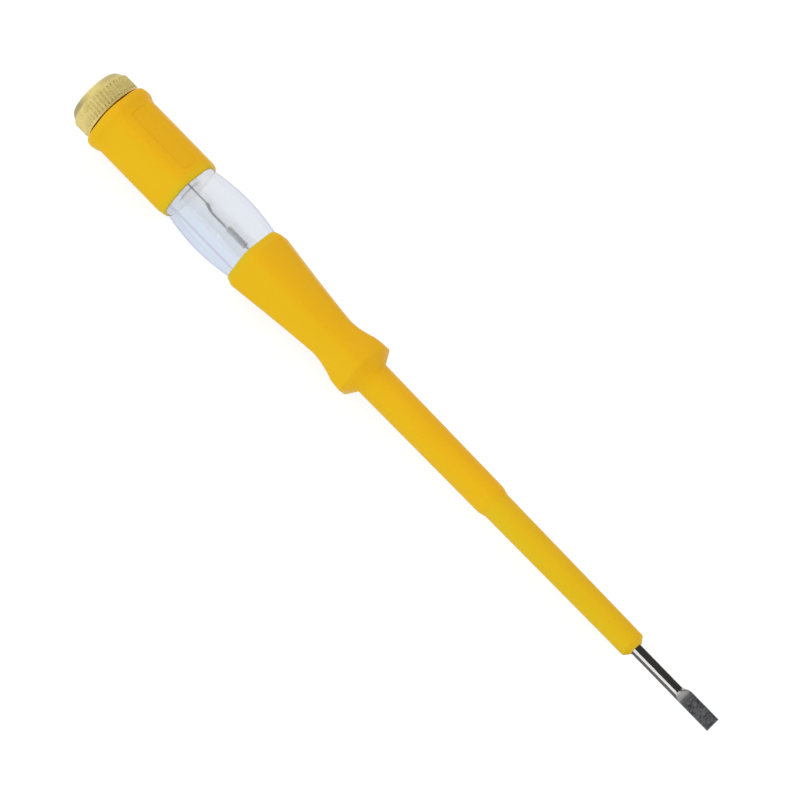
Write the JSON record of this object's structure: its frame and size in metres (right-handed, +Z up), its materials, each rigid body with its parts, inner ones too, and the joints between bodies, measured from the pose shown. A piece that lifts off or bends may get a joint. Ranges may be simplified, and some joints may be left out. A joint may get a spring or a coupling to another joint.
{
  "type": "voltage tester screwdriver",
  "caption": "Slotted screwdriver with an insulated stem and a faceted handle whose clear window shows a glow lamp; a knurled brass cap at the rear is touched with a finger.",
  "frame": {"origin": "centre of the end face of the blade's flat tip", "axes": "+X along the tool, out of the tip; +Z out of the rear grip's facet that has the sunk panel; +Y to the left when looking from the cap to the tip with +Z up"},
  "size_m": [0.19, 0.0174, 0.0164],
  "materials": {
    "nickel_plate": "polished, blasted at the tip",
    "sleeve_plastic": "semi-gloss",
    "yellow_plastic": "semi-gloss",
    "clear_plastic": "clear and glossy",
    "brass": "turned, bright",
    "spring_steel": "drawn wire",
    "lamp_glass": "clear",
    "tin_solder": "dull tin",
    "electrode_metal": "dull grey",
    "resistor_lacquer": "brown lacquer"
  },
  "bodies": {
    "handle": {"blade": "nickel_plate", "tip_sleeve": "sleeve_plastic", "nose_sleeve": "yellow_plastic", "front_grip": "yellow_plastic", "window_barrel": "clear_plastic", "rear_grip": "yellow_plastic", "threaded_bush": "brass", "lamp_glass": "lamp_glass", "lamp_front_ferrule": "nickel_plate", "lamp_rear_ferrule": "nickel_plate", "lamp_front_solder": "tin_solder", "lamp_rear_solder": "tin_solder", "lamp_front_lead": "nickel_plate", "lamp_rear_lead": "nickel_plate", "lamp_front_electrode": "electrode_metal", "lamp_rear_electrode": "electrode_metal", "resistor_rod": "resistor_lacquer", "resistor_front_cap": "brass", "resistor_rear_cap": "brass"},
    "spring": {"contact_spring": "spring_steel"},
    "cap": {"contact_cap": "brass"}
  },
  "joints": [
    {"name": "cap_travel", "type": "slide", "parent": "handle", "child": "spring", "axis": [-1, 0, 0], "range_m": [0, 0.0062], "deforming": ["contact_spring"]},
    {"name": "cap_turn", "type": "hinge", "parent": "spring", "child": "cap", "pos_m": [-0.18, 0, 0], "axis": [-1, 0, 0], "range_deg": [0, 2160]}
  ],
  "couplings": [
    {"joint": "cap_travel", "follows": "cap_turn", "m_per_rad": 0.00015915}
  ]
}
